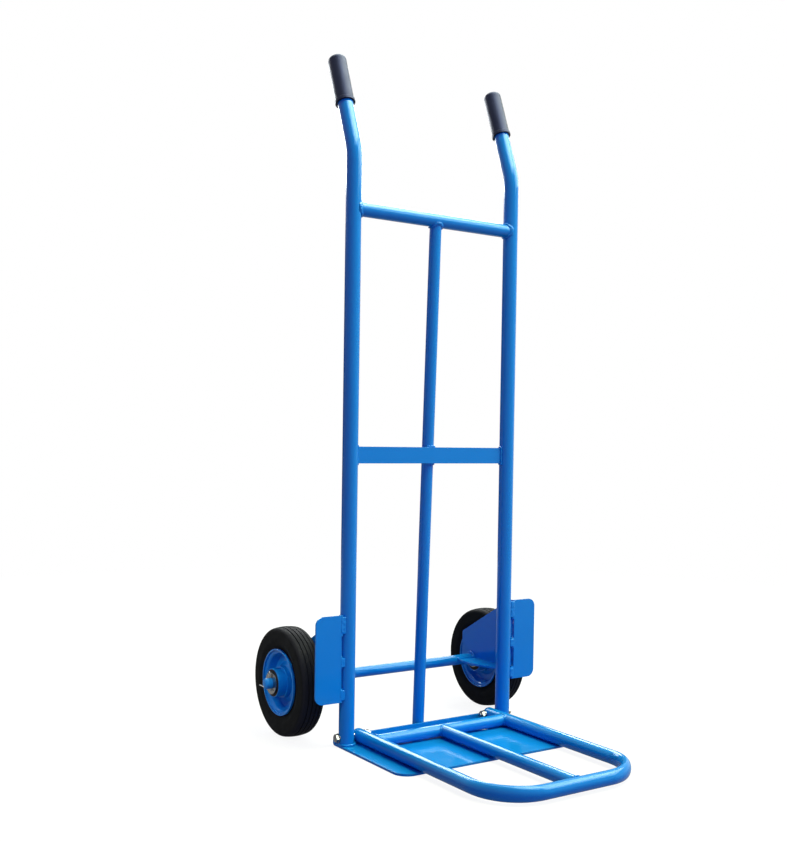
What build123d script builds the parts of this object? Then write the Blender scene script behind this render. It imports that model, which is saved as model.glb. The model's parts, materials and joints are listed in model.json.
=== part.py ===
from build123d import *
import math
import os

# Sack truck with a folding toe extension, in millimetres.
# X runs across the truck, the toe points along -Y and Z is up from the floor.
# Left and right are those of the person pushing it, so left is the +X side.
# The origin is on the floor, midway between the feet of the two uprights.

# Uprights and handles
upright_diameter = 28.0
upright_wall = 2.0
upright_spacing = 354.0
bend_height = 1052.0
bend_radius = 100.0
handle_angle = 20.5
handle_length = 184.0

# Hand grips
grip_length = 94.0
grip_wall = 2.7
grip_end_wall = 4.0
grip_end_radius = 7.0
grip_collar_rise = 1.3
grip_collar_length = 5.0
grip_fit = 0.05

# Cross members of the frame
top_tube_diameter = 25.0
top_tube_wall = 2.0
top_tube_height = 950.0
strap_width = 30.0
strap_thickness = 4.0
strap_height = 518.0
centre_tube_diameter = 22.0
centre_tube_wall = 1.5
centre_tube_foot_height = 5.0
weld_gap = 0.1

# Toe plate with its upturned rear flange
plate_overhang = 1.0
plate_thickness = 4.0
plate_reach = 200.0
plate_corner_radius = 26.0
flange_height = 15.0
flange_gap = 1.0
flange_bend_radius = 1.0
flange_corner_radius = 6.0

# Folding toe extension
loop_diameter = 24.0
loop_wall = 2.0
loop_bend_radius = 80.0
loop_bend_squeeze = 3.5
loop_bend_bulge = 1.0
loop_reach = 406.5
loop_side_gap = 2.0
loop_rest_gap = 0.3
rear_tube_diameter = 22.0
rear_tube_wall = 1.5
rear_tube_reach = 46.0
mid_tube_diameter = 22.0
mid_tube_wall = 1.5

# Pivot bolts of the extension
pivot_back = 4.0
bolt_diameter = 8.0
bolt_fit = 0.05
bolt_head_width = 13.0
bolt_head_height = 5.3
bolt_tail = 3.0
nut_height = 6.8
pivot_washer_diameter = 16.0
pivot_washer_thickness = 1.6
pivot_running_gap = 0.3
hex_chamfer = 0.8

# Axle and what holds the wheels on it
axle_diameter = 20.0
axle_back = 119.0
axle_fit = 0.05
axle_end_radius = 6.0
axle_end_length = 11.0
inner_washer_diameter = 37.0
inner_washer_thickness = 2.5
outer_washer_diameter = 40.0
outer_washer_thickness = 3.0
pin_wire_diameter = 1.9
pin_leg_gap = 0.2
pin_hole_diameter = 4.4
pin_washer_gap = 1.5
pin_eye_length = 8.0
pin_eye_half_width = 3.8
pin_neck_length = 3.5
pin_tail_start = 1.0
pin_rear_tail_length = 18.0
pin_front_tail_length = 7.0
pin_bend_radius = 1.6

# Wheels
wheel_diameter = 200.0
tyre_width = 46.0
tyre_shoulder_radius = 8.0
tyre_side_rise = 14.0
tyre_side_radius = 10.0
tread_crown = 3.0
tread_groove_width = 2.0
tread_groove_depth = 2.0
tread_groove_pitch = 8.0
tread_groove_count = 4
rim_lip_diameter = 121.0
rim_lip_inset = 3.5
rim_lip_turn = 6.0
rim_sheet = 2.5
seat_outer_diameter = 109.0
seat_inner_diameter = 100.0
disc_gap = 0.1
disc_floor_diameter = 72.0
disc_rise = 7.0
disc_collar_length = 17.0
disc_bend_radius = 3.0
hub_diameter = 52.0
hub_wall = 1.5
hub_length = 68.0
hub_end_gap = 0.5
hub_fit = 0.05

# Wheel bearings
bearing_width = 14.0
bearing_inner_wall = 3.2
bearing_outer_wall = 3.2
ball_count = 7
ball_play = 0.3
seal_thickness = 2.0
seal_recess = 0.3
seal_gap = 0.3
spacer_wall = 2.5

# Wheel brackets with their guards
bracket_thickness = 3.0
bracket_fold_radius = 0.5
bracket_axle_fit = 0.1
guard_front = 10.0
guard_width = 56.0
guard_bottom = 82.5
guard_top = 236.5
guard_corner_radius = 15.0
panel_bottom = 97.0
panel_rear_height = 152.0
panel_rear_margin = 30.5
panel_corner_radius = 6.0
panel_lobe_radius = 17.0
slot_width = 5.0
slot_lengths = (36.0, 37.0)
slot_bottoms = (107.0, 163.0)

# Stays between the uprights and the axle
stay_thickness = 4.0
stay_bottom = 100.0
stay_axle_width = 38.0
stay_mid_width = 41.0
stay_upright_width = 19.0

# Places worked out from the sizes above
upright_x = upright_spacing / 2
upright_radius = upright_diameter / 2
plate_width = upright_spacing + upright_diameter + 2 * plate_overhang
axle_height = wheel_diameter / 2
axle_bore = axle_diameter + 2 * axle_fit
bolt_bore = bolt_diameter + 2 * bolt_fit
pivot_height = plate_thickness + loop_rest_gap + loop_diameter / 2
loop_x = upright_x - upright_radius - loop_side_gap - loop_diameter / 2
flange_front_y = max(upright_radius, pivot_back + loop_diameter / 2) + flange_gap
flange_rear_y = flange_front_y + plate_thickness
panel_inner_x = upright_x + upright_radius
panel_outer_x = panel_inner_x + bracket_thickness
hub_start_x = panel_outer_x + inner_washer_thickness
hub_end_x = hub_start_x + hub_length
wheel_x = (hub_start_x + hub_end_x) / 2
pin_x = hub_end_x + outer_washer_thickness + pin_washer_gap + pin_wire_diameter / 2
axle_end_x = pin_x + axle_end_length
centre_tube_radius = centre_tube_diameter / 2
centre_tube_flange_y = flange_rear_y + centre_tube_radius + weld_gap
centre_tube_slope = centre_tube_flange_y / (top_tube_height - flange_height)


def save(name, *solids):
    piece = solids[0] if len(solids) == 1 else Compound(children=list(solids))
    export_step(piece, os.path.join("parts", name + ".step"))


def both_sides(solid):
    return solid, mirror(solid, about=Plane.YZ)


def save_pair(name, solid):
    left, right = both_sides(solid)
    save("left_" + name, left)
    save("right_" + name, right)


def rod_x(diameter, x_from, x_to, y, z):
    middle = (x_from + x_to) / 2
    return Pos(middle, y, z) * Rot(0, 90, 0) * Cylinder(diameter / 2, x_to - x_from)


def ring_x(outside, bore, x_from, x_to, y, z):
    return rod_x(outside, x_from, x_to, y, z) - rod_x(bore, x_from, x_to, y, z)


def tube_x(diameter, wall, x_from, x_to, y, z):
    return ring_x(diameter, diameter - 2 * wall, x_from, x_to, y, z)


def swept_tube(path, diameter, wall):
    start = Plane(origin=path @ 0, z_dir=path % 0)
    outside = Circle(diameter / 2)
    bore = Circle(diameter / 2 - wall)
    return sweep(start * (outside - bore), path=path)


def hexagon_x(width, x_from, x_to, y, z):
    prism = Plane(origin=(x_from, y, z), x_dir=(0, 1, 0), z_dir=(1, 0, 0)) * RegularPolygon(
        width / 2, 6, major_radius=False
    )
    corner_diameter = width / math.cos(math.pi / 6)
    round_bar = rod_x(corner_diameter, x_from, x_to, y, z)
    round_bar = chamfer(round_bar.edges().filter_by(GeomType.CIRCLE), hex_chamfer)
    return extrude(prism, x_to - x_from) & round_bar


def upright_core(x):
    return Pos(x, 0, bend_height / 2) * Cylinder(upright_radius, bend_height)


# The tube stands on the toe plate and bends back into the handle.
def make_upright():
    lean = math.radians(handle_angle)
    top = (
        upright_x,
        handle_length * math.sin(lean),
        bend_height + handle_length * math.cos(lean),
    )
    path = FilletPolyline(
        (upright_x, 0, plate_thickness), (upright_x, 0, bend_height), top, radius=bend_radius
    )
    tube = swept_tube(path, upright_diameter, upright_wall)
    hole = rod_x(
        bolt_bore, upright_x - upright_diameter, upright_x + upright_diameter, pivot_back, pivot_height
    )
    return tube - hole, top


# A moulded sleeve with a closed, rounded end and a small collar at its mouth.
def make_grip(tube_end):
    lean = math.radians(handle_angle)
    direction = Vector(0, math.sin(lean), math.cos(lean))
    mouth = Vector(*tube_end) - direction * (grip_length - grip_end_wall)
    bore_radius = upright_radius + grip_fit
    radius = bore_radius + grip_wall
    collar_radius = radius + grip_collar_rise
    with BuildSketch(Plane.XZ) as section:
        with BuildLine():
            Polyline(
                (0, grip_length - grip_end_wall),
                (bore_radius, grip_length - grip_end_wall),
                (bore_radius, 0),
                (collar_radius, 0),
                (collar_radius, grip_collar_length),
                (radius, grip_collar_length + grip_collar_rise),
                (radius, grip_length - grip_end_radius),
            )
            RadiusArc(
                (radius, grip_length - grip_end_radius),
                (radius - grip_end_radius, grip_length),
                -grip_end_radius,
            )
            Line((radius - grip_end_radius, grip_length), (0, grip_length))
            Line((0, grip_length), (0, grip_length - grip_end_wall))
        make_face()
    sleeve = revolve(section.sketch, axis=Axis.Z)
    seat = Plane(origin=mouth, x_dir=(1, 0, 0), z_dir=direction)
    return seat.location * sleeve


def make_top_tube():
    tube = tube_x(top_tube_diameter, top_tube_wall, -upright_x, upright_x, 0, top_tube_height)
    return tube - upright_core(upright_x) - upright_core(-upright_x)


# The axis leans back from the top tube so that the foot stands behind the flange.
def centre_tube_y(height):
    return centre_tube_slope * (top_tube_height - height)


def make_centre_tube():
    foot = (0, centre_tube_y(0), 0)
    path = Line(foot, (0, 0, top_tube_height))
    tube = swept_tube(path, centre_tube_diameter, centre_tube_wall)
    floor_block = Pos(0, centre_tube_y(0), centre_tube_foot_height - centre_tube_diameter) * Box(
        2 * centre_tube_diameter, 2 * centre_tube_diameter, 2 * centre_tube_diameter
    )
    core = rod_x(top_tube_diameter, -upright_x, upright_x, 0, top_tube_height)
    return tube - floor_block - core


# The flat strap passes in front of the centre tube and is butted to the uprights.
def make_strap():
    reach = centre_tube_radius * math.hypot(1, centre_tube_slope)
    rear_y = centre_tube_y(strap_height + strap_width / 2) - reach - weld_gap
    strap = Pos(0, rear_y - strap_thickness / 2, strap_height) * Box(
        upright_spacing, strap_thickness, strap_width
    )
    return strap - upright_core(upright_x) - upright_core(-upright_x)


def make_toe_plate():
    top_line = FilletPolyline(
        (-plate_reach, plate_thickness),
        (flange_front_y, plate_thickness),
        (flange_front_y, flange_height),
        radius=flange_bend_radius,
    )
    section = make_face(offset(top_line, amount=plate_thickness, side=Side.RIGHT))
    plate = extrude(Plane.YZ * section, plate_width / 2, both=True)
    front_corners = plate.edges().filter_by(Axis.Z).group_by(Axis.Y)[0]
    plate = fillet(front_corners, plate_corner_radius)
    flange_corners = plate.edges().filter_by(Axis.Y).group_by(Axis.Z)[-1]
    return fillet(flange_corners, flange_corner_radius)


# The tube is bent without a core, so at the middle of each bend its section is flattened.
def loop_bend(side, wall):
    round_radius = loop_diameter / 2 - wall
    corner_cut = loop_bend_radius * (1 - math.sqrt(0.5))
    arc = ThreePointArc(
        (side * loop_x, loop_bend_radius - loop_reach, pivot_height),
        (side * (loop_x - corner_cut), corner_cut - loop_reach, pivot_height),
        (side * (loop_x - loop_bend_radius), -loop_reach, pivot_height),
    )
    sections = []
    for share, flattening in ((0, 0), (0.5, 1), (1, 0)):
        seat = Plane(origin=arc @ share, x_dir=(0, 0, 1), z_dir=arc % share)
        tall = round_radius + flattening * loop_bend_bulge
        narrow = round_radius - flattening * loop_bend_squeeze
        sections.append(seat * Ellipse(tall, narrow))
    return sweep(sections=sections, path=arc, multisection=True)


# One bent tube; both ends are closed by domes about the pivot, so they clear the plate as it turns.
def make_loop():
    radius = loop_diameter / 2
    front_end = loop_x - loop_bend_radius
    loop = tube_x(loop_diameter, loop_wall, -front_end, front_end, -loop_reach, pivot_height)
    for side in (-1, 1):
        x = side * loop_x
        leg = Line((x, pivot_back, pivot_height), (x, loop_bend_radius - loop_reach, pivot_height))
        loop += swept_tube(leg, loop_diameter, loop_wall)
        loop += loop_bend(side, 0) - loop_bend(side, loop_wall)
        dome = Sphere(radius, arc_size3=180, align=None)
        dome -= Sphere(radius - loop_wall, arc_size3=180, align=None)
        loop += Pos(x, pivot_back, pivot_height) * dome
    return loop - rod_x(bolt_bore, -upright_x, upright_x, pivot_back, pivot_height)


def loop_side_core(x):
    return Pos(x, -loop_reach / 2, pivot_height) * Rot(90, 0, 0) * Cylinder(loop_diameter / 2, loop_reach)


def make_rear_tube():
    tube = tube_x(rear_tube_diameter, rear_tube_wall, -loop_x, loop_x, -rear_tube_reach, pivot_height)
    return tube - loop_side_core(loop_x) - loop_side_core(-loop_x)


def make_mid_tube():
    path = Line((0, -rear_tube_reach, pivot_height), (0, -loop_reach, pivot_height))
    tube = swept_tube(path, mid_tube_diameter, mid_tube_wall)
    rear_core = rod_x(rear_tube_diameter, -loop_x, loop_x, -rear_tube_reach, pivot_height)
    front_core = rod_x(loop_diameter, -loop_x, loop_x, -loop_reach, pivot_height)
    return tube - rear_core - front_core


# The bolt comes in through the upright and the side tube, and its nut is on the inside.
def make_pivot_hardware():
    place = (pivot_back, pivot_height)
    head_washer = (panel_inner_x, panel_inner_x + pivot_washer_thickness)
    head = (head_washer[1], head_washer[1] + bolt_head_height)
    spacer = (loop_x + loop_diameter / 2 + pivot_running_gap, upright_x - upright_radius)
    nut_washer_end = loop_x - loop_diameter / 2 - pivot_running_gap
    nut_washer = (nut_washer_end - pivot_washer_thickness, nut_washer_end)
    nut = (nut_washer[0] - nut_height, nut_washer[0])
    bolt = hexagon_x(bolt_head_width, *head, *place)
    bolt += rod_x(bolt_diameter, nut[0] - bolt_tail, head[0], *place)
    washers = [
        ring_x(pivot_washer_diameter, bolt_bore, *span, *place)
        for span in (head_washer, spacer, nut_washer)
    ]
    nut_solid = hexagon_x(bolt_head_width, *nut, *place) - rod_x(bolt_bore, *nut, *place)
    return bolt, washers, nut_solid


def make_axle():
    axle = rod_x(axle_diameter, -axle_end_x, axle_end_x, axle_back, axle_height)
    axle = fillet(axle.edges().filter_by(GeomType.CIRCLE), axle_end_radius)
    for x in (-pin_x, pin_x):
        axle -= Pos(x, axle_back, axle_height) * Cylinder(pin_hole_diameter / 2, 2 * axle_diameter)
    return axle


# One wire doubled back on itself: an eye above the axle and two tails bent apart below it.
def make_split_pin():
    leg = (pin_wire_diameter + pin_leg_gap) / 2
    top = axle_diameter / 2 + pin_neck_length
    bottom = -axle_diameter / 2 - pin_tail_start - pin_wire_diameter / 2
    path = FilletPolyline(
        (pin_x, leg + pin_rear_tail_length, bottom),
        (pin_x, leg, bottom),
        (pin_x, leg, top),
        (pin_x, pin_eye_half_width, top + pin_neck_length),
        (pin_x, 0, top + pin_eye_length),
        (pin_x, -pin_eye_half_width, top + pin_neck_length),
        (pin_x, -leg, top),
        (pin_x, -leg, bottom),
        (pin_x, -leg - pin_front_tail_length, bottom),
        radius=pin_bend_radius,
    )
    start = Plane(origin=path @ 0, z_dir=path % 0)
    wire = sweep(start * Circle(pin_wire_diameter / 2), path=path)
    return Pos(0, axle_back, axle_height) * wire


# Wheel sections are drawn about the wheel's own centre: X along the axle, Y as the radius.
def place_wheel_piece(solid):
    return Pos(wheel_x, axle_back, axle_height) * solid


def turned(face):
    return place_wheel_piece(revolve(face, axis=Axis.X))


def wheel_ring(outside, bore, x_from, x_to):
    return place_wheel_piece(ring_x(outside, bore, x_from, x_to, 0, 0))


def disc_line():
    inner_lip_x = tyre_width / 2 - rim_lip_inset - rim_sheet
    collar_radius = hub_diameter / 2 + hub_fit
    return FilletPolyline(
        (inner_lip_x + rim_lip_turn, rim_lip_diameter / 2),
        (inner_lip_x, rim_lip_diameter / 2),
        (inner_lip_x, seat_outer_diameter / 2),
        (disc_gap, seat_inner_diameter / 2),
        (disc_gap, disc_floor_diameter / 2),
        (disc_rise, collar_radius),
        (disc_collar_length, collar_radius),
        radius=disc_bend_radius,
    )


# A pressed sheet disc: turned lip, conical tyre seat, dished floor and a collar on the hub tube.
def make_rim_disc():
    section = make_face(offset(disc_line(), amount=rim_sheet, side=Side.LEFT))
    return turned(section)


def make_tyre():
    half = tyre_width / 2
    radius = wheel_diameter / 2
    lip_radius = rim_lip_diameter / 2
    seat_radius = seat_inner_diameter / 2
    bead_x = half - rim_lip_inset - rim_sheet
    section = Polygon(
        (0, seat_radius),
        (bead_x, seat_radius),
        (bead_x, lip_radius),
        (half, lip_radius + tyre_side_rise),
        (half, radius),
        (0, radius),
        align=None,
    )
    crown_radius = (half**2 + tread_crown**2) / (2 * tread_crown)
    section &= Pos(0, radius - crown_radius) * Circle(crown_radius)
    side_corner = section.vertices().sort_by_distance((half, lip_radius + tyre_side_rise))[0]
    section = fillet(side_corner, tyre_side_radius)
    shoulder = section.vertices().sort_by_distance((half, radius - tread_crown))[0]
    section = fillet(shoulder, tyre_shoulder_radius)
    seat = disc_line()
    rim_side = Polyline(seat @ 1, (tyre_width, (seat @ 1).Y), (tyre_width, lip_radius), seat @ 0)
    section -= make_face(seat.edges() + rim_side.edges())
    section += mirror(section, about=Plane.YZ)
    for place in GridLocations(tread_groove_pitch, 0, tread_groove_count, 1):
        groove_top = Pos(0, radius) * place
        crown_drop = crown_radius - math.sqrt(crown_radius**2 - groove_top.position.X**2)
        section -= groove_top * Rectangle(tread_groove_width, 2 * (tread_groove_depth + crown_drop))
    return turned(section)


def make_hub_tube():
    half = hub_length / 2 - hub_end_gap
    return wheel_ring(hub_diameter, hub_diameter - 2 * hub_wall, -half, half)


# Every bearing ring, seal and ball is made at the outer end of the hub and copied to the inner end.
def both_hub_ends(solid):
    return [solid, mirror(solid, about=Plane.YZ.offset(wheel_x))]


def make_bearing():
    hub_mouth = hub_length / 2 - hub_end_gap
    seal_end = hub_mouth - seal_recess
    outer_end = seal_end - seal_thickness
    inner_end = outer_end - bearing_width
    outside = hub_diameter - 2 * hub_wall - 2 * hub_fit
    track = outside - 2 * bearing_outer_wall
    inner_outside = axle_bore + 2 * bearing_inner_wall
    outer_ring = wheel_ring(outside, track, inner_end, outer_end)
    inner_ring = wheel_ring(inner_outside, axle_bore, inner_end, hub_length / 2)
    seal = wheel_ring(outside, inner_outside + 2 * seal_gap, outer_end, seal_end)
    spacer = wheel_ring(axle_bore + 2 * spacer_wall, axle_bore, -inner_end, inner_end)
    ball_diameter = (track - inner_outside) / 2 - ball_play - hub_fit
    ball_circle = track / 2 - hub_fit - ball_diameter / 2
    balls = []
    for turn in range(ball_count):
        spot = Rot(360 * turn / ball_count, 0, 0) * Pos((inner_end + outer_end) / 2, 0, ball_circle)
        balls.append(place_wheel_piece(spot * Sphere(ball_diameter / 2)))
    return outer_ring, inner_ring, seal, spacer, balls


# One folded plate: the guard stands in front of the tyre, the panel runs back to the axle.
def make_bracket():
    guard_end_x = panel_inner_x + guard_width
    panel_rear = axle_back + panel_rear_margin
    fold_line = FilletPolyline(
        (guard_end_x, -guard_front),
        (panel_inner_x, -guard_front),
        (panel_inner_x, panel_rear),
        radius=bracket_fold_radius + bracket_thickness,
    )
    section = make_face(offset(fold_line, amount=bracket_thickness, side=Side.RIGHT))
    plate = Pos(0, 0, guard_bottom) * extrude(section, guard_top - guard_bottom)
    side_view = Polygon(
        (-guard_front, guard_bottom),
        (upright_radius, guard_bottom),
        (upright_radius, panel_bottom),
        (panel_rear, panel_bottom),
        (panel_rear, panel_rear_height),
        (0, guard_top),
        (-guard_front, guard_top),
        align=None,
    )
    rear_corner = side_view.vertices().sort_by_distance((panel_rear, panel_rear_height))[0]
    side_view = fillet(rear_corner, panel_corner_radius)
    side_view += Pos(axle_back, axle_height) * Circle(panel_lobe_radius)
    front_view = Rectangle(guard_width, guard_top - guard_bottom, align=(Align.MIN, Align.MIN))
    outer_corners = front_view.vertices().group_by(Axis.X)[-1]
    front_view = Pos(panel_inner_x, guard_bottom) * fillet(outer_corners, guard_corner_radius)
    plate &= extrude(Plane.YZ * side_view, guard_end_x)
    plate &= extrude(Plane.XZ * front_view, 2 * panel_rear, both=True)
    for length, bottom in zip(slot_lengths, slot_bottoms):
        slot = Box(2 * slot_width, 2 * slot_width, length, align=(Align.CENTER, Align.CENTER, Align.MIN))
        plate -= Pos(panel_inner_x, -guard_front, bottom) * slot
    hole = axle_diameter + 2 * bracket_axle_fit
    return plate - rod_x(hole, 0, guard_end_x, axle_back, axle_height)


# A flat bowed strip that ties the axle to the upright along the inside of the panel.
def make_stay():
    front_y = upright_radius / 2
    inner_edge = ThreePointArc(
        (panel_inner_x - stay_axle_width, axle_back),
        (panel_inner_x - stay_mid_width, (axle_back + front_y) / 2),
        (panel_inner_x - stay_upright_width, front_y),
    )
    other_edges = Polyline(
        inner_edge @ 1, (panel_inner_x, front_y), (panel_inner_x, axle_back), inner_edge @ 0
    )
    strip = extrude(make_face(inner_edge.edges() + other_edges.edges()), stay_thickness)
    strip = Pos(0, 0, stay_bottom) * strip - upright_core(upright_x)
    return strip - rod_x(axle_diameter, 0, panel_outer_x, axle_back, axle_height)


os.makedirs("parts", exist_ok=True)

upright, handle_end = make_upright()
save_pair("upright", upright)
save_pair("grip", make_grip(handle_end))
save("top_cross_tube", make_top_tube())
save("mid_strap", make_strap())
save("centre_tube", make_centre_tube())
save("toe_plate", make_toe_plate())

save("extension_loop", make_loop())
save("extension_rear_tube", make_rear_tube())
save("extension_mid_tube", make_mid_tube())
pivot_bolt, pivot_washers, pivot_nut = make_pivot_hardware()
save("pivot_bolts", *both_sides(pivot_bolt))
save("pivot_nuts", *both_sides(pivot_nut))
for washer_name, washer in zip(("head", "spacer", "nut"), pivot_washers):
    save("pivot_" + washer_name + "_washers", *both_sides(washer))

save_pair("wheel_bracket", make_bracket())
save_pair("axle_stay", make_stay())
save("axle", make_axle())
inner_washer = ring_x(inner_washer_diameter, axle_bore, panel_outer_x, hub_start_x, axle_back, axle_height)
outer_washer_end = hub_end_x + outer_washer_thickness
outer_washer = ring_x(outer_washer_diameter, axle_bore, hub_end_x, outer_washer_end, axle_back, axle_height)
save("inner_axle_washers", *both_sides(inner_washer))
save("outer_axle_washers", *both_sides(outer_washer))
save("split_pins", *both_sides(make_split_pin()))

save_pair("tyre", make_tyre())
save_pair("hub_tube", make_hub_tube())
outer_disc, inner_disc = both_hub_ends(make_rim_disc())
save_pair("outer_rim_disc", outer_disc)
save_pair("inner_rim_disc", inner_disc)
outer_ring, inner_ring, hub_seal, bearing_spacer, bearing_balls = make_bearing()
save("bearing_spacers", *both_sides(bearing_spacer))
inner_rings = []
for ring in both_hub_ends(inner_ring):
    inner_rings += both_sides(ring)
save("bearing_inner_rings", *inner_rings)
hub_groups = {"bearing_outer_rings": [outer_ring], "hub_seals": [hub_seal], "bearing_balls": bearing_balls}
for group_name, solids in hub_groups.items():
    left_group = []
    for solid in solids:
        left_group += both_hub_ends(solid)
    save("left_" + group_name, *left_group)
    save("right_" + group_name, *[mirror(solid, about=Plane.YZ) for solid in left_group])
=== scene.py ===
import json
import math

import bpy
from mathutils import Euler, Matrix, Vector


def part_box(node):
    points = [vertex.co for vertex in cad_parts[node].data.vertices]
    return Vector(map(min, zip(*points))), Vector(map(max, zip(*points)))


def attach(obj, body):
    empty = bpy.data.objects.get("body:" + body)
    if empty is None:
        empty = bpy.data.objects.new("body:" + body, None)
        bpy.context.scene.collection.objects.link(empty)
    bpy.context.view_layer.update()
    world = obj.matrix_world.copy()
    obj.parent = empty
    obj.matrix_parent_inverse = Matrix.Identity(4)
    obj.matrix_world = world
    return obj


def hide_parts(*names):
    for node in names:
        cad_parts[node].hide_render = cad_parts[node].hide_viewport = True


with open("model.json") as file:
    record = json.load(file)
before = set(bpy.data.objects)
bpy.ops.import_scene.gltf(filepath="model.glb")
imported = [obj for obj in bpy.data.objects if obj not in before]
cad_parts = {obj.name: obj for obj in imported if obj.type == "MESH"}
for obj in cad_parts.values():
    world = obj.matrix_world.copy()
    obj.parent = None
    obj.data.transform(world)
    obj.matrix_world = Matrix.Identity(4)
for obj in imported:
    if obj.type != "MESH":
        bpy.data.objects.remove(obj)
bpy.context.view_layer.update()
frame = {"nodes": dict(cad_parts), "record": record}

nodes = frame["nodes"]
bpy.ops.object.select_all(action="DESELECT")
print("frame loaded:", len(nodes), "nodes")


# Camera at the photograph's viewing angle

photoCamera = {
    "place": (-1.1530, -1.6219, 0.54625),
    "azimuth": -33.36,
    "elevation": 1.68,
    "roll": 0.85,
    "sensor": 36,
    "lens": 45.90,
    "shiftUp": 0.0594,
}


def addCamera(view):
    tilt = Euler((math.radians(90 - view["elevation"]), 0, math.radians(view["azimuth"])))
    turn = tilt.to_matrix() @ Matrix.Rotation(math.radians(view["roll"]), 3, "Z")
    bpy.ops.object.camera_add(location=view["place"], rotation=turn.to_euler())
    camera = bpy.context.object
    camera.data.sensor_width = view["sensor"]
    camera.data.lens = view["lens"]
    camera.data.shift_y = view["shiftUp"]
    bpy.context.scene.camera = camera


addCamera(photoCamera)
bpy.context.scene.view_settings.view_transform = "Standard"
print("camera placed")


# Small helpers for node trees

white = (1.0, 1.0, 1.0)
black = (0.0, 0.0, 0.0)


def link(tree, start, end):
    tree.links.new(start, end)


# Sets a property where the node has one of that name, and an input socket otherwise
def addNode(tree, kind, **values):
    node = tree.nodes.new(kind)
    for name, value in values.items():
        if hasattr(node, name):
            setattr(node, name, value)
        else:
            node.inputs[name].default_value = value
    return node


def feed(tree, socket, value):
    if isinstance(value, tuple):
        socket.default_value = (*value, 1)
    elif isinstance(value, (int, float)):
        socket.default_value = value
    else:
        link(tree, value, socket)


def mathNode(tree, operation, first, second):
    node = addNode(tree, "ShaderNodeMath", operation=operation)
    feed(tree, node.inputs[0], first)
    feed(tree, node.inputs[1], second)
    return node.outputs[0]


def mixColour(tree, factor, first, second):
    node = addNode(tree, "ShaderNodeMix", data_type="RGBA")
    for socket, value in zip((node.inputs[0], node.inputs[6], node.inputs[7]), (factor, first, second)):
        feed(tree, socket, value)
    return node.outputs[2]


def mapRange(tree, value, low, high, newLow=0.0, newHigh=1.0):
    node = addNode(tree, "ShaderNodeMapRange")
    link(tree, value, node.inputs[0])
    for socket, number in zip(node.inputs[1:5], (low, high, newLow, newHigh)):
        socket.default_value = number
    return node.outputs[0]


def dotNode(tree, vector, direction):
    node = addNode(tree, "ShaderNodeVectorMath", operation="DOT_PRODUCT")
    link(tree, vector, node.inputs[0])
    node.inputs[1].default_value = direction
    return node.outputs["Value"]


def lengthNode(tree, vector):
    node = addNode(tree, "ShaderNodeVectorMath", operation="LENGTH")
    link(tree, vector, node.inputs[0])
    return node.outputs["Value"]


# One where the camera, a reflection or glass looks at the surface
def seenRays(tree, path, mirrored):
    seen = mathNode(tree, "MAXIMUM", path.outputs["Is Camera Ray"], mirrored)
    return mathNode(tree, "MAXIMUM", seen, path.outputs["Is Transmission Ray"])


def emptyMaterial(name):
    material = bpy.data.materials.new(name)
    material.use_nodes = True
    material.node_tree.nodes.clear()
    return material, material.node_tree


# Room light: white where it is seen, and a blue fill on the truck, strongest from ahead on the +X side

roomLight = {
    "behind": (0.01, 0.03, 0.10),
    "inFront": (0.05, 0.25, 1.68),
    "overhead": (0.06, 0.12, 0.16),
    "frontTurn": 32,  # degrees from straight ahead towards +X
}


def addWorld(light):
    world = bpy.data.worlds.new("studioWorld")
    bpy.context.scene.world = world
    world.use_nodes = True
    tree = world.node_tree
    tree.nodes.clear()
    direction = addNode(tree, "ShaderNodeTexCoord").outputs["Generated"]
    turn = math.radians(light["frontTurn"])
    ahead = mapRange(tree, dotNode(tree, direction, (math.sin(turn), -math.cos(turn), 0)), -1, 1)
    around = mixColour(tree, ahead, light["behind"], light["inFront"])
    height = mapRange(tree, dotNode(tree, direction, (0, 0, 1)), 0, 1)
    fill = mixColour(tree, height, around, light["overhead"])
    path = addNode(tree, "ShaderNodeLightPath")
    seen = seenRays(tree, path, path.outputs["Is Glossy Ray"])
    background = addNode(tree, "ShaderNodeBackground")
    link(tree, mixColour(tree, seen, fill, white), background.inputs["Color"])
    output = addNode(tree, "ShaderNodeOutputWorld")
    link(tree, background.outputs[0], output.inputs["Surface"])


# Lamps: soft cards above, on the +X side and behind, and a small one for the near wheel

lampCards = {
    "skyCard": {
        "place": (0.7, -0.9, 3.3),
        "aim": (0.1, -0.1, 0),
        "size": (2.2, 1.9),
        "power": 160,
        "colour": (1.0, 1.0, 0.53),
        "spread": 180,
        "mirrored": True,
    },
    "sideCard": {
        "place": (2.2, -1.1, 2.1),
        "aim": (0.1, -0.3, 0.05),
        "size": (3.5, 1.0),
        "power": 76,
        "colour": (0.90, 1.0, 0.74),
        "spread": 180,
        "mirrored": True,
    },
    "backCard": {
        "place": (0.9, 2.9, 2.2),
        "aim": (0, -0.2, 0.2),
        "size": (3.6, 1.0),
        "power": 130,
        "colour": (0.95, 1.0, 1.0),
        "spread": 180,
        "mirrored": True,
    },
    "wheelCard": {
        "place": (-1.0, -0.25, 0.75),
        "aim": (-0.25, 0.14, 0.10),
        "size": (0.3, 0.3),
        "power": 0.12,
        "colour": (1.0, 1.0, 0.85),
        "spread": 20,
        "mirrored": False,
    },
}


def addLamp(name, card):
    place = Vector(card["place"])
    turn = (Vector(card["aim"]) - place).to_track_quat("-Z", "Y").to_euler()
    bpy.ops.object.light_add(type="AREA", location=place, rotation=turn)
    lamp = bpy.context.object
    lamp.name = name
    lamp.visible_glossy = card["mirrored"]
    lamp.data.shape = "RECTANGLE"
    lamp.data.size, lamp.data.size_y = card["size"]
    lamp.data.energy = card["power"]
    lamp.data.color = card["colour"]
    lamp.data.spread = math.radians(card["spread"])


# The floor takes the shadow near the truck and fades to plain white further out

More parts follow.
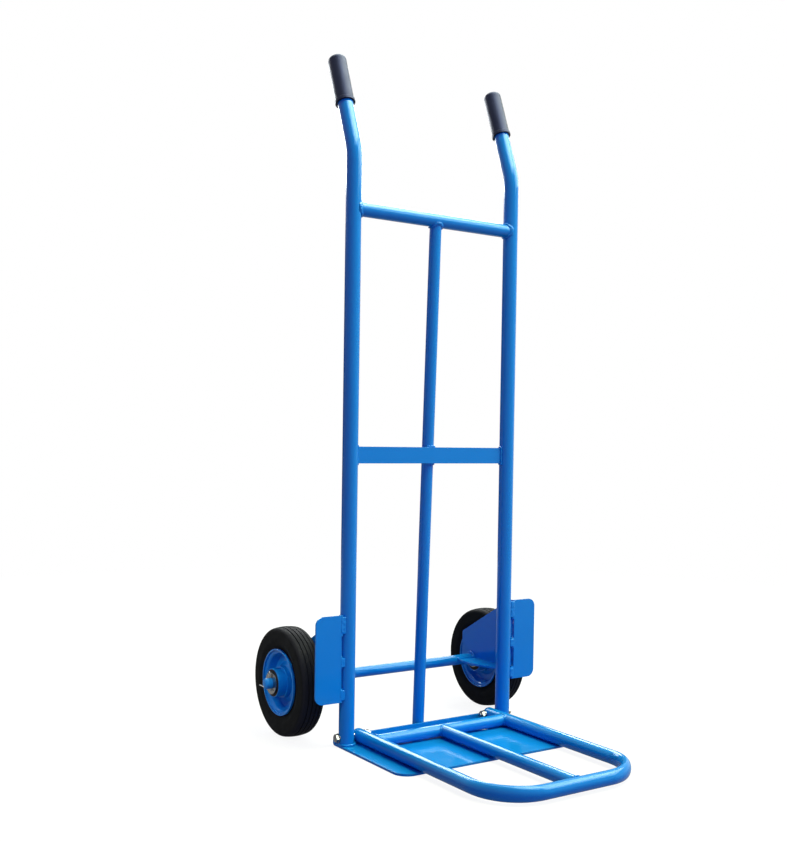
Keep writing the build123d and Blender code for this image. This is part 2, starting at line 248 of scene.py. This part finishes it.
paleFloor = {
    "size": 60,
    "albedo": (0.11, 0.11, 0.11),
    "glow": 0.90,
    "bounce": 0.16,
    "fade": (1.0, 2.6),
    # Painted shade: reflections see the floor darker near the truck, standing in for its shadow
    "mirrorFade": (0.7, 2.2),  # reflections see it darker near the truck
    "mirrorPaintedShade": 0.30,
}


def addFloor(look):
    bpy.ops.mesh.primitive_plane_add(size=look["size"], location=(0, 0, 0))
    floor = bpy.context.object
    floor.name = "floor"
    material, tree = emptyMaterial("paleFloor")
    reach = lengthNode(tree, addNode(tree, "ShaderNodeTexCoord").outputs["Object"])
    far = mapRange(tree, reach, *look["fade"])
    diffuse = addNode(tree, "ShaderNodeBsdfDiffuse")
    link(tree, mixColour(tree, far, look["albedo"], black), diffuse.inputs["Color"])
    path = addNode(tree, "ShaderNodeLightPath")
    # Painted shade: the floor's glow in reflections drops near the truck, where its shadow would fall
    shade = mapRange(tree, reach, *look["mirrorFade"], look["mirrorPaintedShade"], 1)
    seen = seenRays(tree, path, mathNode(tree, "MULTIPLY", path.outputs["Is Glossy Ray"], shade))
    level = mathNode(tree, "MULTIPLY", seen, mapRange(tree, far, 0, 1, look["glow"], 1))
    glow = addNode(tree, "ShaderNodeEmission")
    link(tree, mathNode(tree, "MAXIMUM", level, look["bounce"]), glow.inputs["Strength"])
    both = addNode(tree, "ShaderNodeAddShader")
    link(tree, diffuse.outputs[0], both.inputs[0])
    link(tree, glow.outputs[0], both.inputs[1])
    output = addNode(tree, "ShaderNodeOutputMaterial")
    link(tree, both.outputs[0], output.inputs["Surface"])
    floor.data.materials.append(material)


# Cards that only reflections see, as painted reflections: dark behind, so the plate keeps its colour, and a
# bright glowing one above, for painted highlights along the tubes

mirrorCards = {
    "darkCard": {
        "place": (0.4, 2.8, 0.75),
        "size": (6.4, 1.5),
        "tilt": 90,
        "turn": -8.13,
        "colour": (1.0, 1.0, 1.0),
        "glow": 0.15,
    },
    "brightCard": {
        "place": (1.3, -0.9, 3.5),
        "size": (4.2, 4.6),
        "tilt": 0,
        "turn": 0,
        "colour": (0.88, 1.0, 1.0),
        "glow": 9.0,
    },
}


def addMirrorCard(name, look):
    turn = (math.radians(look["tilt"]), 0, math.radians(look["turn"]))
    bpy.ops.mesh.primitive_plane_add(size=1, location=look["place"], rotation=turn)
    card = bpy.context.object
    card.name = name
    card.scale = (*look["size"], 1)
    card.visible_camera = False
    card.visible_diffuse = False
    card.visible_shadow = False
    material, tree = emptyMaterial(name)
    glow = addNode(tree, "ShaderNodeEmission", Color=(*look["colour"], 1), Strength=look["glow"])
    output = addNode(tree, "ShaderNodeOutputMaterial")
    link(tree, glow.outputs[0], output.inputs["Surface"])
    card.data.materials.append(material)


addWorld(roomLight)
for name, card in lampCards.items():
    addLamp(name, card)
addFloor(paleFloor)
for name, card in mirrorCards.items():
    addMirrorCard(name, card)
print("studio lit")


# Materials

noiseParts = ("Scale", "Detail", "Roughness")
layers = ("Patches", "Shine", "Grain")
shineSpan = (0.3, 0.7)
edgeSpan = (0.99, 0.80)
edgeSamples = 4


def newMaterial(name):
    material = bpy.data.materials.new(name)
    material.use_nodes = True
    tree = material.node_tree
    place = addNode(tree, "ShaderNodeTexCoord").outputs["Object"]
    return material, tree, tree.nodes["Principled BSDF"], place


def newGroup(name, inputs, outputs):
    group = bpy.data.node_groups.new(name, "ShaderNodeTree")
    for socket, kind in inputs.items():
        group.interface.new_socket(socket, in_out="INPUT", socket_type=kind)
    for socket, kind in outputs.items():
        group.interface.new_socket(socket, in_out="OUTPUT", socket_type=kind)
    return group, group.nodes.new("NodeGroupInput"), group.nodes.new("NodeGroupOutput")


# Rounds sharp edges in the shading and marks where they are
def makeEdgeGroup():
    outputs = {"Normal": "NodeSocketVector", "Edge": "NodeSocketFloat"}
    group, start, end = newGroup("softEdges", {"Radius": "NodeSocketFloat"}, outputs)
    rounded = addNode(group, "ShaderNodeBevel", samples=edgeSamples)
    link(group, start.outputs["Radius"], rounded.inputs["Radius"])
    plain = addNode(group, "ShaderNodeNewGeometry")
    agree = addNode(group, "ShaderNodeVectorMath", operation="DOT_PRODUCT")
    link(group, rounded.outputs["Normal"], agree.inputs[0])
    link(group, plain.outputs["Normal"], agree.inputs[1])
    link(group, rounded.outputs["Normal"], end.inputs["Normal"])
    link(group, mapRange(group, agree.outputs["Value"], *edgeSpan), end.inputs["Edge"])
    return group


# Patches of colour, changes of shine and fine grain, each a noise with its own values
def makeUnevenGroup():
    inputs = {"Place": "NodeSocketVector"}
    for layer in layers:
        for part in noiseParts:
            inputs[layer + " " + part] = "NodeSocketFloat"
    group, start, end = newGroup("unevenFinish", inputs, dict.fromkeys(layers, "NodeSocketFloat"))
    for layer in layers:
        cloud = addNode(group, "ShaderNodeTexNoise")
        link(group, start.outputs["Place"], cloud.inputs["Vector"])
        for part in noiseParts:
            link(group, start.outputs[layer + " " + part], cloud.inputs[part])
        link(group, cloud.outputs["Fac"], end.inputs[layer])
    return group


edgeGroup = makeEdgeGroup()
unevenGroup = makeUnevenGroup()


def softEdges(tree, radius):
    node = addNode(tree, "ShaderNodeGroup", node_tree=edgeGroup)
    node.inputs["Radius"].default_value = radius
    return node.outputs["Normal"], node.outputs["Edge"]


# Gives the shader its roughness and grain, and returns the mask of the patches
def makeUneven(tree, shader, place, look, normal=None):
    uneven = addNode(tree, "ShaderNodeGroup", node_tree=unevenGroup)
    link(tree, place, uneven.inputs["Place"])
    for layer in layers:
        for part, value in zip(noiseParts, look[layer.lower()]):
            uneven.inputs[layer + " " + part].default_value = value
    roughness = mapRange(tree, uneven.outputs["Shine"], *shineSpan, *look["roughness"])
    link(tree, roughness, shader.inputs["Roughness"])
    grain = addNode(tree, "ShaderNodeBump", Distance=look["grainDepth"], Strength=1)
    link(tree, uneven.outputs["Grain"], grain.inputs["Height"])
    if normal is not None:
        link(tree, normal, grain.inputs["Normal"])
    link(tree, grain.outputs["Normal"], shader.inputs["Normal"])
    return mapRange(tree, uneven.outputs["Patches"], *look["patchSpan"])


def setSheen(shader, look):
    shader.inputs["Specular IOR Level"].default_value = look["specular"]
    shader.inputs["Specular Tint"].default_value = (*look["sheen"], 1)


# In every finish, patches, shine and grain give a noise's scale, detail and roughness

bluePaint = {
    "colour": (0.004, 0.198, 0.585),
    "deepColour": (0.003, 0.180, 0.550),
    # Painted highlight: sharp edges take a lighter blue
    "edgeHighlightColour": (0.010, 0.235, 0.640),
    "edgeRadius": 0.0008,
    "roughness": (0.09, 0.15),
    "specular": 0.26,
    "sheen": (0.58, 0.86, 1.0),
    "patches": (9, 3, 0.5),
    "patchSpan": (0, 1),
    "shine": (30, 3, 0.5),
    "grain": (260, 1, 0.5),
    "grainDepth": 0.00004,
}


def makePaint(name, look):
    material, tree, shader, place = newMaterial(name)
    setSheen(shader, look)
    normal, edge = softEdges(tree, look["edgeRadius"])
    patches = makeUneven(tree, shader, place, look, normal)
    body = mixColour(tree, patches, look["deepColour"], look["colour"])
    # Painted highlight: lighter blue where the edge mask finds sharp edges
    link(tree, mixColour(tree, edge, body, look["edgeHighlightColour"]), shader.inputs["Base Color"])
    return material


def corners(node):
    return [Vector(corner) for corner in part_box(node)]


tyreLow, tyreHigh = corners("left_tyre")
axleLine = (tyreLow + tyreHigh) / 2
tyreRadius = (tyreHigh.z - tyreLow.z) / 2


# Distance from the axle as a share of the tyre's radius
def wheelShare(tree, place):
    apart = addNode(tree, "ShaderNodeVectorMath", operation="SUBTRACT")
    link(tree, place, apart.inputs[0])
    apart.inputs[1].default_value = axleLine
    flat = addNode(tree, "ShaderNodeVectorMath", operation="MULTIPLY")
    link(tree, apart.outputs[0], flat.inputs[0])
    flat.inputs[1].default_value = (0, 1 / tyreRadius, 1 / tyreRadius)
    return lengthNode(tree, flat.outputs[0])


tyreRubber = {
    "colour": (0.0100, 0.0100, 0.0095),
    "dust": (0.0155, 0.0153, 0.0148),
    "tread": (0.016, 0.0155, 0.018),
    "treadShare": (0.925, 0.965),
    "roughness": (0.48, 0.62),
    "specular": 0.02,
    "sheen": (1.0, 1.0, 1.0),
    "patches": (40, 4, 0.6),
    "patchSpan": (0.45, 0.75),
    "shine": (60, 3, 0.5),
    "grain": (900, 2, 0.5),
    "grainDepth": 0.00008,
}

sealRubber = {
    "colour": (0.007, 0.007, 0.008),
    "dust": (0.011, 0.011, 0.012),
    "roughness": (0.45, 0.6),
    "specular": 0.08,
    "sheen": (1.0, 1.0, 1.0),
    "patches": (40, 4, 0.6),
    "patchSpan": (0.45, 0.75),
    "shine": (60, 3, 0.5),
    "grain": (900, 2, 0.5),
    "grainDepth": 0.00004,
}

gripPlastic = {
    "colour": (0.0064, 0.0064, 0.0105),
    "dust": (0.0098, 0.0098, 0.0150),
    "roughness": (0.40, 0.52),
    "specular": 0.26,
    "sheen": (0.27, 0.36, 1.0),
    "patches": (40, 4, 0.6),
    "patchSpan": (0.45, 0.75),
    "shine": (60, 3, 0.5),
    "grain": (1400, 2, 0.5),
    "grainDepth": 0.00005,
}


def makeRubber(name, look):
    material, tree, shader, place = newMaterial(name)
    setSheen(shader, look)
    patches = makeUneven(tree, shader, place, look)
    colour = mixColour(tree, patches, look["colour"], look["dust"])
    if "tread" in look:
        worn = mapRange(tree, wheelShare(tree, place), *look["treadShare"])
        colour = mixColour(tree, worn, colour, look["tread"])
    link(tree, colour, shader.inputs["Base Color"])
    return material


zincPlate = {
    "colour": (0.36, 0.36, 0.37),
    "tint": (0.27, 0.27, 0.27),
    "roughness": (0.16, 0.28),
    "patches": (120, 3, 0.5),
    "patchSpan": (0.35, 0.7),
    "shine": (200, 3, 0.5),
    "grain": (1600, 2, 0.5),
    "grainDepth": 0.00002,
}

bearingSteel = {
    "colour": (0.62, 0.62, 0.63),
    "tint": (0.55, 0.55, 0.56),
    "roughness": (0.12, 0.2),
    "patches": (120, 3, 0.5),
    "patchSpan": (0.35, 0.7),
    "shine": (200, 3, 0.5),
    "grain": (900, 2, 0.5),
    "grainDepth": 0.00001,
}


def makeMetal(name, look):
    material, tree, shader, place = newMaterial(name)
    shader.inputs["Metallic"].default_value = 1
    patches = makeUneven(tree, shader, place, look)
    link(tree, mixColour(tree, patches, look["colour"], look["tint"]), shader.inputs["Base Color"])
    return material


finishes = {
    "blue_paint": makePaint("glossBluePaint", bluePaint),
    "black_tyre": makeRubber("tyreRubber", tyreRubber),
    "black_seal": makeRubber("sealRubber", sealRubber),
    "black_grip": makeRubber("gripPlastic", gripPlastic),
    "zinc_plate": makeMetal("zincPlate", zincPlate),
    "bearing_steel": makeMetal("bearingSteel", bearingSteel),
}
for subpart in frame["record"]["subparts"]:
    nodes[subpart["node"]].material_slots[0].material = finishes[subpart["material_slot"]]
print("finishes on", len(nodes), "nodes")


# Small helpers for modelling

def pick(*pieces):
    bpy.ops.object.select_all(action="DESELECT")
    for piece in pieces:
        piece.select_set(True)
    bpy.context.view_layer.objects.active = pieces[0]


def settle(piece):
    pick(piece)
    bpy.ops.object.transform_apply(location=True, rotation=True, scale=True)
    return piece


def combine(piece, other, operation):
    pick(piece)
    bpy.ops.object.modifier_add(type="BOOLEAN")
    joint = piece.modifiers[-1]
    joint.operation = operation
    joint.object = other
    bpy.ops.object.modifier_apply(modifier=joint.name)
    bpy.data.objects.remove(other)


# A mirrored copy for the other side of the truck
def otherSide(piece):
    pick(piece)
    bpy.ops.object.duplicate()
    copy = bpy.context.object
    copy.scale.x = -1
    settle(copy)
    bpy.ops.object.mode_set(mode="EDIT")
    bpy.ops.mesh.select_all(action="SELECT")
    bpy.ops.mesh.normals_make_consistent(inside=False)
    bpy.ops.object.mode_set(mode="OBJECT")
    return copy


# Weld beads: what lies close to both of two joined shapes and outside of them, made lumpy

weldBeads = {
    "reach": 0.0030,
    "footReach": 0.0038,
    "stayReach": 0.0050,
    "extensionReach": 0.0022,
    "sink": 0.0004,
    "neck": 0.30,  # share of the radius at which a stem starts inside the piece it joins
    "sides": 64,
    "voxel": 0.0008,
    "smoothing": 6,
    "lumpSize": 0.0045,
    "lumpHeight": 0.0016,
    "stub": 0.02,
    "footHeight": 0.04,
    "stemRadii": 3,
    "stemLength": 0.05,
    "patchHalf": 0.04,
    "loopPatchHalf": 0.03,
    "loopRadius": 0.012,
    "plateShare": 0.25,
    "plateClearance": 0.002,
    "underHalf": 0.2,
    "underDepth": 0.1,
    "stitches": ((0.086, 0.104), (0.145, 0.161), (0.203, 0.234)),
    "stitchAcross": (-0.0038, 0.0055),
    "stitchHeight": 0.0007,
    "slots": ((0.106, 0.144), (0.162, 0.201)),
    "slotAcross": (0.0005, 0.0085),
    "slotSink": 0.0065,
    "runMargin": 0.01,
}


def roundBar(start, end, radius):
    return {"start": Vector(start), "end": Vector(end), "radius": radius}


def flatBar(low, high):
    return {"start": Vector(low), "end": Vector(high)}


def addShape(shape, grow):
    bpy.ops.object.select_all(action="DESELECT")
    along = shape["end"] - shape["start"]
    middle = (shape["start"] + shape["end"]) / 2
    if "radius" in shape:
        bpy.ops.mesh.primitive_cylinder_add(
            vertices=weldBeads["sides"],
            radius=shape["radius"] + grow,
            depth=along.length,
            location=middle,
            rotation=along.to_track_quat("Z", "Y").to_euler(),
        )
    else:
        bpy.ops.mesh.primitive_cube_add(size=1, location=middle)
        bpy.context.object.scale = along + Vector((2 * grow, 2 * grow, 2 * grow))
    return settle(bpy.context.object)


def addBead(main, stem, reach, mainReach=None):
    bead = addShape(stem, reach)
    combine(bead, addShape(main, mainReach or reach), "INTERSECT")
    combine(bead, addShape(stem, -weldBeads["sink"]), "DIFFERENCE")
    combine(bead, addShape(main, -weldBeads["sink"]), "DIFFERENCE")
    return bead


lumps = bpy.data.textures.new("beadLumps", "CLOUDS")
lumps.noise_scale = weldBeads["lumpSize"]


def finishBeads(name, beads, body):
    pick(*beads)
    bpy.ops.object.join()
    piece = bpy.context.object
    piece.name = name
    for kind in ("REMESH", "SMOOTH", "DISPLACE", "SMOOTH"):
        bpy.ops.object.modifier_add(type=kind)
        step = piece.modifiers[-1]
        if kind == "REMESH":
            step.mode = "VOXEL"
            step.voxel_size = weldBeads["voxel"]
        elif kind == "SMOOTH":
            step.iterations = weldBeads["smoothing"]
        else:
            step.texture = lumps
            step.texture_coords = "LOCAL"
            step.strength = weldBeads["lumpHeight"]
        bpy.ops.object.modifier_apply(modifier=step.name)
    bpy.ops.object.shade_smooth()
    piece.data.materials.append(finishes["blue_paint"])
    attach(piece, body)
    print(name, "has", len(piece.data.polygons), "faces")


# Place across, radius and lower end of the left upright, which stands on the toe plate
def leftFoot():
    low, high = corners("left_upright")
    radius = (high.x - low.x) / 2
    return high.x - radius, radius, low.z


def leftUpright(low, high):
    x, radius, _ = leftFoot()
    return roundBar((x, 0, low), (x, 0, high), radius)


# Height and radius of a level tube
def levelTube(node):
    low, high = corners(node)
    radius = (high.z - low.z) / 2
    return high.z - radius, radius


# The left side's beads: cross tube, strap, toe plate and stay at the upright, stay and panel at the axle
def sideWelds(look):
    reach, sink, stub = look["reach"], look["sink"], look["stub"]
    uprightX, uprightRadius, plateTop = leftFoot()
    topZ, topRadius = levelTube("top_cross_tube")
    topLow, topHigh = corners("top_cross_tube")
    strapLow, strapHigh = corners("mid_strap")
    plateLow, plateHigh = corners("toe_plate")
    stayLow, stayHigh = corners("left_axle_stay")
    axleLow, axleHigh = corners("axle")
    axleRadius = (axleHigh.z - axleLow.z) / 2
    panelX = corners("left_wheel_bracket")[0].x
    stemStart = uprightX - look["neck"] * uprightRadius
    stemEnd = uprightX - look["stemRadii"] * uprightRadius

    topEnd = roundBar((stemEnd, 0, topZ), (stemStart, 0, topZ), topRadius)
    strapEnd = flatBar((stemEnd, strapLow.y, strapLow.z), (stemStart, strapHigh.y, strapHigh.z))
    platePatch = flatBar(
        (stemEnd, look["plateShare"] * plateLow.y, plateLow.z + reach),
        (plateHigh.x - reach, plateHigh.y - reach, plateTop),
    )
    stayEnd = flatBar((uprightX, stayLow.y, stayLow.z), (stayHigh.x, stayLow.y + uprightRadius, stayHigh.z))
    stayTail = flatBar(
        (stayLow.x, stayHigh.y - axleRadius, stayLow.z),
        (stayHigh.x, axleLow.y + axleRadius, stayHigh.z),
    )
    axleInside = roundBar((stayLow.x, *axleLine.yz), (panelX, *axleLine.yz), axleRadius)
    panelPatch = flatBar(
        (panelX - sink, axleLow.y - axleRadius, axleLow.z - axleRadius),
        (panelX - sink / 2, axleHigh.y + axleRadius, axleHigh.z + axleRadius),
    )
    return [
        addBead(leftUpright(topLow.z - stub, topHigh.z + stub), topEnd, reach),
        addBead(leftUpright(strapLow.z - stub, strapHigh.z + stub), strapEnd, reach),
        addBead(platePatch, leftUpright(plateTop, plateTop + look["footHeight"]), look["footReach"]),
        addBead(leftUpright(stayLow.z - stub, stayHigh.z + stub), stayEnd, look["stayReach"]),
        addBead(axleInside, stayTail, reach),
        addBead(panelPatch, axleInside, look["stayReach"], reach),
    ]


# Stitches over the left bracket's fold, and sunk runs in the slots between them
def foldWelds(look):
    margin = look["runMargin"]
    guardLow = corners("left_wheel_bracket")[0]
    front = guardLow.y - look["stitchHeight"]
    sunk = guardLow.y + look["slotSink"]
    spans = [(look["stitchAcross"], front, span) for span in look["stitches"]]
    spans += [(look["slotAcross"], sunk, span) for span in look["slots"]]
    runs = []
    for (inner, outer), y, (low, high) in spans:
        run = addShape(flatBar((guardLow.x + inner, y, low), (guardLow.x + outer, 0, high)), 0)
        combine(run, addShape(leftUpright(low - margin, high + margin), -look["sink"]), "DIFFERENCE")
        runs.append(run)
    return runs


# The leaning centre tube's beads, at the top tube, the strap and the plate's flange
def centreWelds(look):
    reach, half, stem = look["reach"], look["patchHalf"], look["stemLength"]
    topZ, topRadius = levelTube("top_cross_tube")
    strapLow, strapHigh = corners("mid_strap")
    centreLow, centreHigh = corners("centre_tube")
    plateHigh = corners("toe_plate")[1]
    plateTop = leftFoot()[2]
    radius = centreHigh.x
    foot = Vector((0, centreHigh.y - radius, centreLow.z))
    lean = (Vector((0, 0, topZ)) - foot).normalized()
    head = Vector((0, 0, topZ)) - lean * look["neck"] * topRadius
    topPatch = roundBar((-half, 0, topZ), (half, 0, topZ), topRadius)
    strapPatch = flatBar((-half, strapLow.y, strapLow.z), (half, strapHigh.y, strapHigh.z))
    flange = flatBar((-half, plateHigh.y - plateTop, plateTop), (half, plateHigh.y, plateHigh.z))
    return [
        addBead(topPatch, roundBar(head - lean * stem, head, radius), reach),
        addBead(strapPatch, roundBar(foot, head, radius), reach),
        addBead(flange, roundBar(foot, foot + lean * stem, radius), reach),
    ]


def weldFrame(look):
    left = sideWelds(look) + foldWelds(look)
    right = [otherSide(bead) for bead in left]
    finishBeads("frameWelds", left + right + centreWelds(look), "frame")


def weldExtension(look):
    reach, neck, stem = look["extensionReach"], look["neck"], look["stemLength"]
    loopRadius, half = look["loopRadius"], look["loopPatchHalf"]
    loopLow, loopHigh = corners("extension_loop")
    sideX = loopHigh.x - loopRadius
    frontY = loopLow.y + loopRadius
    height, radius = levelTube("extension_rear_tube")
    rearY = corners("extension_rear_tube")[1].y - radius
    side = roundBar((sideX, rearY - half, height), (sideX, rearY + half, height), loopRadius)
    rearEnd = roundBar((sideX / 2, rearY, height), (sideX - neck * loopRadius, rearY, height), radius)
    beads = [addBead(side, rearEnd, reach)]
    beads.append(otherSide(beads[0]))
    for y, mainRadius, ahead in ((rearY, radius, -1), (frontY, loopRadius, 1)):
        main = roundBar((-half, y, height), (half, y, height), mainRadius)
        start = (0, y + ahead * neck * mainRadius, height)
        beads.append(addBead(main, roundBar(start, (0, y + ahead * stem, height), radius), reach))
    # Clear of the toe plate that the extension lies on
    plateTop = leftFoot()[2] + look["plateClearance"]
    plateBack = corners("toe_plate")[1].y
    under = flatBar(
        (-look["underHalf"], loopLow.y, -look["underDepth"]),
        (look["underHalf"], plateBack, plateTop),
    )
    for bead in beads:
        combine(bead, addShape(under, 0), "DIFFERENCE")
    finishBeads("extensionWelds", beads, "toe_extension")


weldFrame(weldBeads)
weldExtension(weldBeads)


# Split pins: the CAD wire again, with the rear tail bent outwards past the axle's end, as photographed

splitPin = {
    "wire": 0.0019,
    "legGap": 0.0002,
    "bend": 0.0012,
    "bendSteps": 5,
    "neckLength": 0.0035,
    "eyeLength": 0.0080,
    "eyeHalf": 0.0038,
    "frontTail": 0.0070,
    "rearTail": (0.0098, 0.0190, 0.0060),
    "roundness": 4,
    "mergeDistance": 0.000001,
}


def pinRoute(look):
    pinLow, pinHigh = corners("split_pins")
    axleLow, axleHigh = corners("axle")
    half = look["wire"] / 2
    leg = half + look["legGap"] / 2
    foot = Vector((pinHigh.x - half, (axleLow.y + axleHigh.y) / 2, pinLow.z + half))
    neck = axleHigh.z - foot.z + look["neckLength"]
    waist = neck + look["neckLength"]
    steps = [
        (0, leg, 0),
        (0, leg, neck),
        (0, look["eyeHalf"], waist),
        (0, 0, neck + look["eyeLength"]),
        (0, -look["eyeHalf"], waist),
        (0, -leg, neck),
        (0, -leg, 0),
        (0, -leg - look["frontTail"], 0),
    ]
    route = [foot + Vector(step) for step in steps]
    return [route[0] + Vector(look["rearTail"])] + route


# One vertex drawn out along the wire's route, its corners rounded, then thickened
def addPins(look):
    route = pinRoute(look)
    bpy.ops.object.select_all(action="DESELECT")
    bpy.ops.mesh.primitive_plane_add(size=look["wire"], location=route[0])
    settle(bpy.context.object)
    bpy.ops.object.mode_set(mode="EDIT")
    bpy.ops.mesh.select_all(action="SELECT")
    bpy.ops.mesh.merge(type="CENTER")
    for here, there in zip(route, route[1:]):
        bpy.ops.mesh.extrude_vertices_move(TRANSFORM_OT_translate={"value": there - here})
    bpy.ops.mesh.select_all(action="SELECT")
    bpy.ops.mesh.bevel(offset=look["bend"], segments=look["bendSteps"], affect="VERTICES")
    bpy.ops.object.mode_set(mode="OBJECT")
    bpy.ops.object.convert(target="CURVE")
    wire = bpy.context.object.data
    wire.bevel_depth = look["wire"] / 2
    wire.bevel_resolution = look["roundness"]
    wire.use_fill_caps = True
    bpy.ops.object.convert(target="MESH")
    pin = bpy.context.object
    pick(pin, otherSide(pin))
    bpy.ops.object.join()
    pins = bpy.context.object
    pins.name = "splitPins"
    bpy.ops.object.mode_set(mode="EDIT")
    bpy.ops.mesh.select_all(action="SELECT")
    bpy.ops.mesh.remove_doubles(threshold=look["mergeDistance"])
    bpy.ops.mesh.normals_make_consistent(inside=False)
    bpy.ops.object.mode_set(mode="OBJECT")
    bpy.ops.object.shade_smooth_by_angle()
    pins.data.materials.clear()
    pins.data.materials.append(finishes["zinc_plate"])
    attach(pins, "frame")
    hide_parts("split_pins")
    print("splitPins has", len(pins.data.polygons), "faces")


addPins(splitPin)
